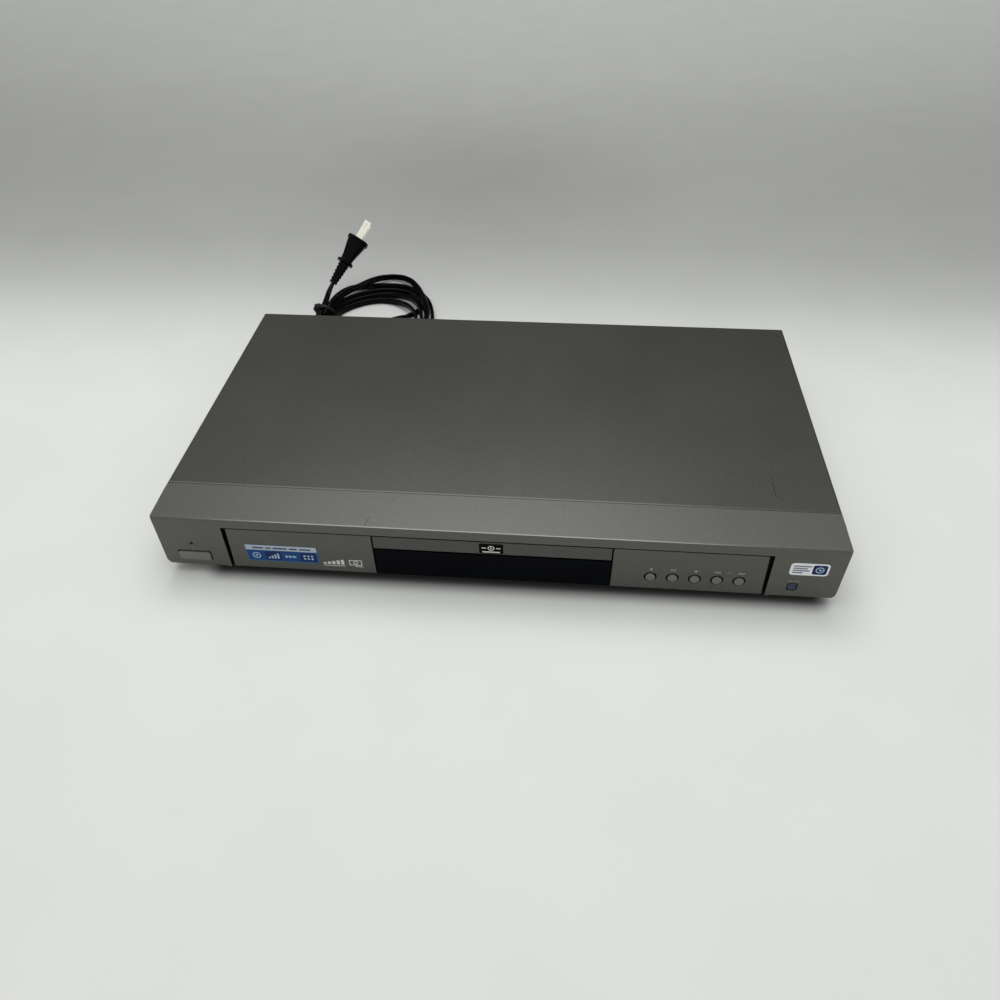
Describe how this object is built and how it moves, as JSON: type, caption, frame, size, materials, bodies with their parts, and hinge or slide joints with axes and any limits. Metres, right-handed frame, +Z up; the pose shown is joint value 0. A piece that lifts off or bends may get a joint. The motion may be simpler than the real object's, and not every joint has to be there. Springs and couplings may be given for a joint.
{
  "type": "disc player",
  "caption": "Slim home disc player with a motor-driven loading tray, front keys, rear sockets and a coiled mains lead.",
  "frame": {"origin": "middle of the player's footprint, on the surface that its feet stand on, without the mains lead", "axes": "+X to the right seen from the front, +Y from the front to the back, +Z up"},
  "size_m": [0.4324, 0.4138, 0.0669],
  "materials": {
    "front_paint": "satin metallic paint",
    "key_paint": "satin metallic paint",
    "key_blue": "satin",
    "gloss_black": "gloss",
    "smoked_window": "gloss",
    "lamp_clear": "clear",
    "display_glass": "clear",
    "board_green": "solder mask",
    "board_tan": "paper laminate",
    "switch_black": "satin",
    "cover_paint": "satin metallic paint",
    "zinc_sheet": "zinc plated",
    "black_steel": "black zinc",
    "coil_tape": "tape",
    "capacitor_sleeve": "sleeve",
    "bare_aluminium": "extruded",
    "socket_black": "satin",
    "socket_metal": "nickel plated",
    "ribbon_white": "satin",
    "loader_black": "moulded",
    "tray_black": "fine texture",
    "gear_white": "natural acetal",
    "belt_rubber": "ground",
    "motor_steel": "plated can",
    "table_black": "satin",
    "pickup_metal": "die cast",
    "rod_steel": "ground",
    "foot_plastic": "moulded",
    "lead_vinyl": "soft vinyl",
    "blade_nickel": "nickel plated"
  },
  "bodies": {
    "case": {"front_panel": "front_paint", "left_insert": "front_paint", "right_insert": "front_paint", "display_window": "smoked_window", "standby_lamp": "lamp_clear", "display_tube": "display_glass", "front_board": "board_green", "standby_board": "board_green", "key_switches": "switch_black", "top_cover": "cover_paint", "bottom_chassis": "zinc_sheet", "rear_panel": "zinc_sheet", "foot_front_left": "foot_plastic", "foot_front_right": "foot_plastic", "foot_rear_left": "foot_plastic", "foot_rear_right": "foot_plastic", "cover_screws": "black_steel", "power_board": "board_tan", "transformer": "coil_tape", "power_capacitors": "capacitor_sleeve", "heatsink": "bare_aluminium", "main_board": "board_green", "main_chips": "switch_black", "component_jacks": "socket_black", "av_jacks": "socket_black", "digital_jacks": "socket_black", "jack_shells": "socket_metal", "front_ribbon": "ribbon_white", "loader_frame": "loader_black", "drive_belt": "belt_rubber", "loading_motor": "motor_steel", "clamp_bridge": "zinc_sheet", "strain_relief": "lead_vinyl", "cord_lead": "lead_vinyl", "cord_coil": "lead_vinyl", "cord_tail": "lead_vinyl", "plug_body": "lead_vinyl", "plug_blades": "blade_nickel"},
    "tray": {"disc_tray": "tray_black", "tray_door": "front_paint", "door_plate": "gloss_black"},
    "drive_gear": {"drive_gear": "gear_white"},
    "pulley_gear": {"pulley_gear": "gear_white"},
    "motor_pulley": {"motor_pulley": "gear_white"},
    "cam_slider": {"cam_slider": "gear_white"},
    "deck": {"traverse_deck": "loader_black", "spindle_motor": "motor_steel", "guide_rods": "rod_steel", "feed_motor": "motor_steel"},
    "turntable": {"turntable": "table_black"},
    "pickup": {"pickup": "pickup_metal"},
    "feed_screw": {"feed_screw": "rod_steel"},
    "clamper": {"clamper": "gear_white"},
    "power_button": {"power_button": "key_paint"},
    "square_button": {"square_button": "key_blue"},
    "eject_button": {"eject_button": "key_paint"},
    "play_button": {"play_button": "key_paint"},
    "stop_button": {"stop_button": "key_paint"},
    "back_button": {"back_button": "key_paint"},
    "forward_button": {"forward_button": "key_paint"}
  },
  "joints": [
    {"name": "tray_slide", "type": "slide", "parent": "case", "child": "tray", "axis": [0, -1, 0], "range_m": [0, 0.14]},
    {"name": "drive_gear_spin", "type": "hinge", "parent": "case", "child": "drive_gear", "pos_m": [0.052, -0.0899, 0.0301], "axis": [0, 0, 1], "range_deg": [-896.3, 5]},
    {"name": "pulley_gear_spin", "type": "hinge", "parent": "case", "child": "pulley_gear", "pos_m": [0.0308, -0.0899, 0.0291], "axis": [0, 0, 1], "range_deg": [-5, 2262.9]},
    {"name": "motor_pulley_spin", "type": "hinge", "parent": "case", "child": "motor_pulley", "pos_m": [-0.012, -0.0954, 0.0281], "axis": [0, 0, 1], "range_deg": [-5, 9789.1]},
    {"name": "deck_tilt", "type": "hinge", "parent": "case", "child": "deck", "pos_m": [0, 0.0481, 0.0241], "axis": [1, 0, 0], "range_deg": [0, 4]},
    {"name": "cam_slide", "type": "slide", "parent": "case", "child": "cam_slider", "axis": [1, 0, 0], "range_m": [-0.0005, 0.0205]},
    {"name": "turntable_spin", "type": "hinge", "parent": "deck", "child": "turntable", "pos_m": [0, -0.0469, 0.0341], "axis": [0, 0, 1], "continuous": true},
    {"name": "clamper_spin", "type": "hinge", "parent": "case", "child": "clamper", "pos_m": [0, -0.0469, 0.0421], "axis": [0, 0, 1], "continuous": true},
    {"name": "pickup_slide", "type": "slide", "parent": "deck", "child": "pickup", "axis": [0, 1, 0], "range_m": [0, 0.035]},
    {"name": "feed_screw_spin", "type": "hinge", "parent": "deck", "child": "feed_screw", "pos_m": [0.03, -0.0069, 0.0293], "axis": [0, 1, 0], "range_deg": [-5, 4205]},
    {"name": "power_press", "type": "slide", "parent": "case", "child": "power_button", "axis": [0, 1, 0], "range_m": [0, 0.0008], "stiffness_N_per_m": 900, "springref_m": -0.0004},
    {"name": "square_press", "type": "slide", "parent": "case", "child": "square_button", "axis": [0, 1, 0], "range_m": [0, 0.0006], "stiffness_N_per_m": 900, "springref_m": -0.0004},
    {"name": "eject_press", "type": "slide", "parent": "case", "child": "eject_button", "axis": [0, 1, 0], "range_m": [0, 0.0006], "stiffness_N_per_m": 900, "springref_m": -0.0004},
    {"name": "play_press", "type": "slide", "parent": "case", "child": "play_button", "axis": [0, 1, 0], "range_m": [0, 0.0006], "stiffness_N_per_m": 900, "springref_m": -0.0004},
    {"name": "stop_press", "type": "slide", "parent": "case", "child": "stop_button", "axis": [0, 1, 0], "range_m": [0, 0.0006], "stiffness_N_per_m": 900, "springref_m": -0.0004},
    {"name": "back_press", "type": "slide", "parent": "case", "child": "back_button", "axis": [0, 1, 0], "range_m": [0, 0.0006], "stiffness_N_per_m": 900, "springref_m": -0.0004},
    {"name": "forward_press", "type": "slide", "parent": "case", "child": "forward_button", "axis": [0, 1, 0], "range_m": [0, 0.0006], "stiffness_N_per_m": 900, "springref_m": -0.0004}
  ],
  "couplings": [
    {"joint": "drive_gear_spin", "follows": "tray_slide", "rad_per_m": -111.11},
    {"joint": "pulley_gear_spin", "follows": "tray_slide", "rad_per_m": 281.48},
    {"joint": "motor_pulley_spin", "follows": "tray_slide", "rad_per_m": 1219.8},
    {"joint": "cam_slide", "follows": "deck_tilt", "m_per_rad": 0.28648},
    {"joint": "clamper_spin", "follows": "turntable_spin", "ratio": 1},
    {"joint": "feed_screw_spin", "follows": "pickup_slide", "rad_per_m": 2094.4}
  ]
}
